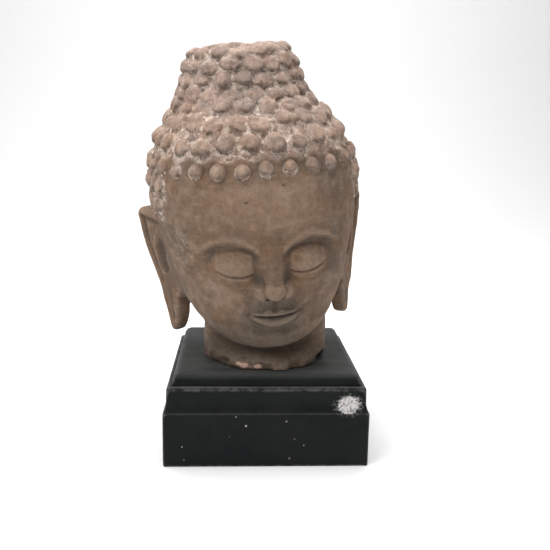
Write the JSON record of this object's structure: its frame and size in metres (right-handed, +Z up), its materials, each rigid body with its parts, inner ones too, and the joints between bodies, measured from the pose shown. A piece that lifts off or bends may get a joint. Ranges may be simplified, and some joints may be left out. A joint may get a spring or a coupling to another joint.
{
  "type": "stone buddha head",
  "caption": "Carved stone head of the Buddha with snail-shell curls, crown bulge and long ears, resting on a stepped, moulded black square plinth.",
  "frame": {"origin": "centre of the plinth's underside, on the surface the object stands on", "axes": "+Z up, -Y towards the viewer that the face looks at, +X to that viewer's right"},
  "size_m": [0.2676, 0.2535, 0.4507],
  "materials": {
    "stone": "carved, weathered, matt",
    "plinth_black": "painted black, satin, worn edges"
  },
  "bodies": {
    "root": {"buddha_head": "stone", "plinth": "plinth_black"}
  },
  "joints": []
}
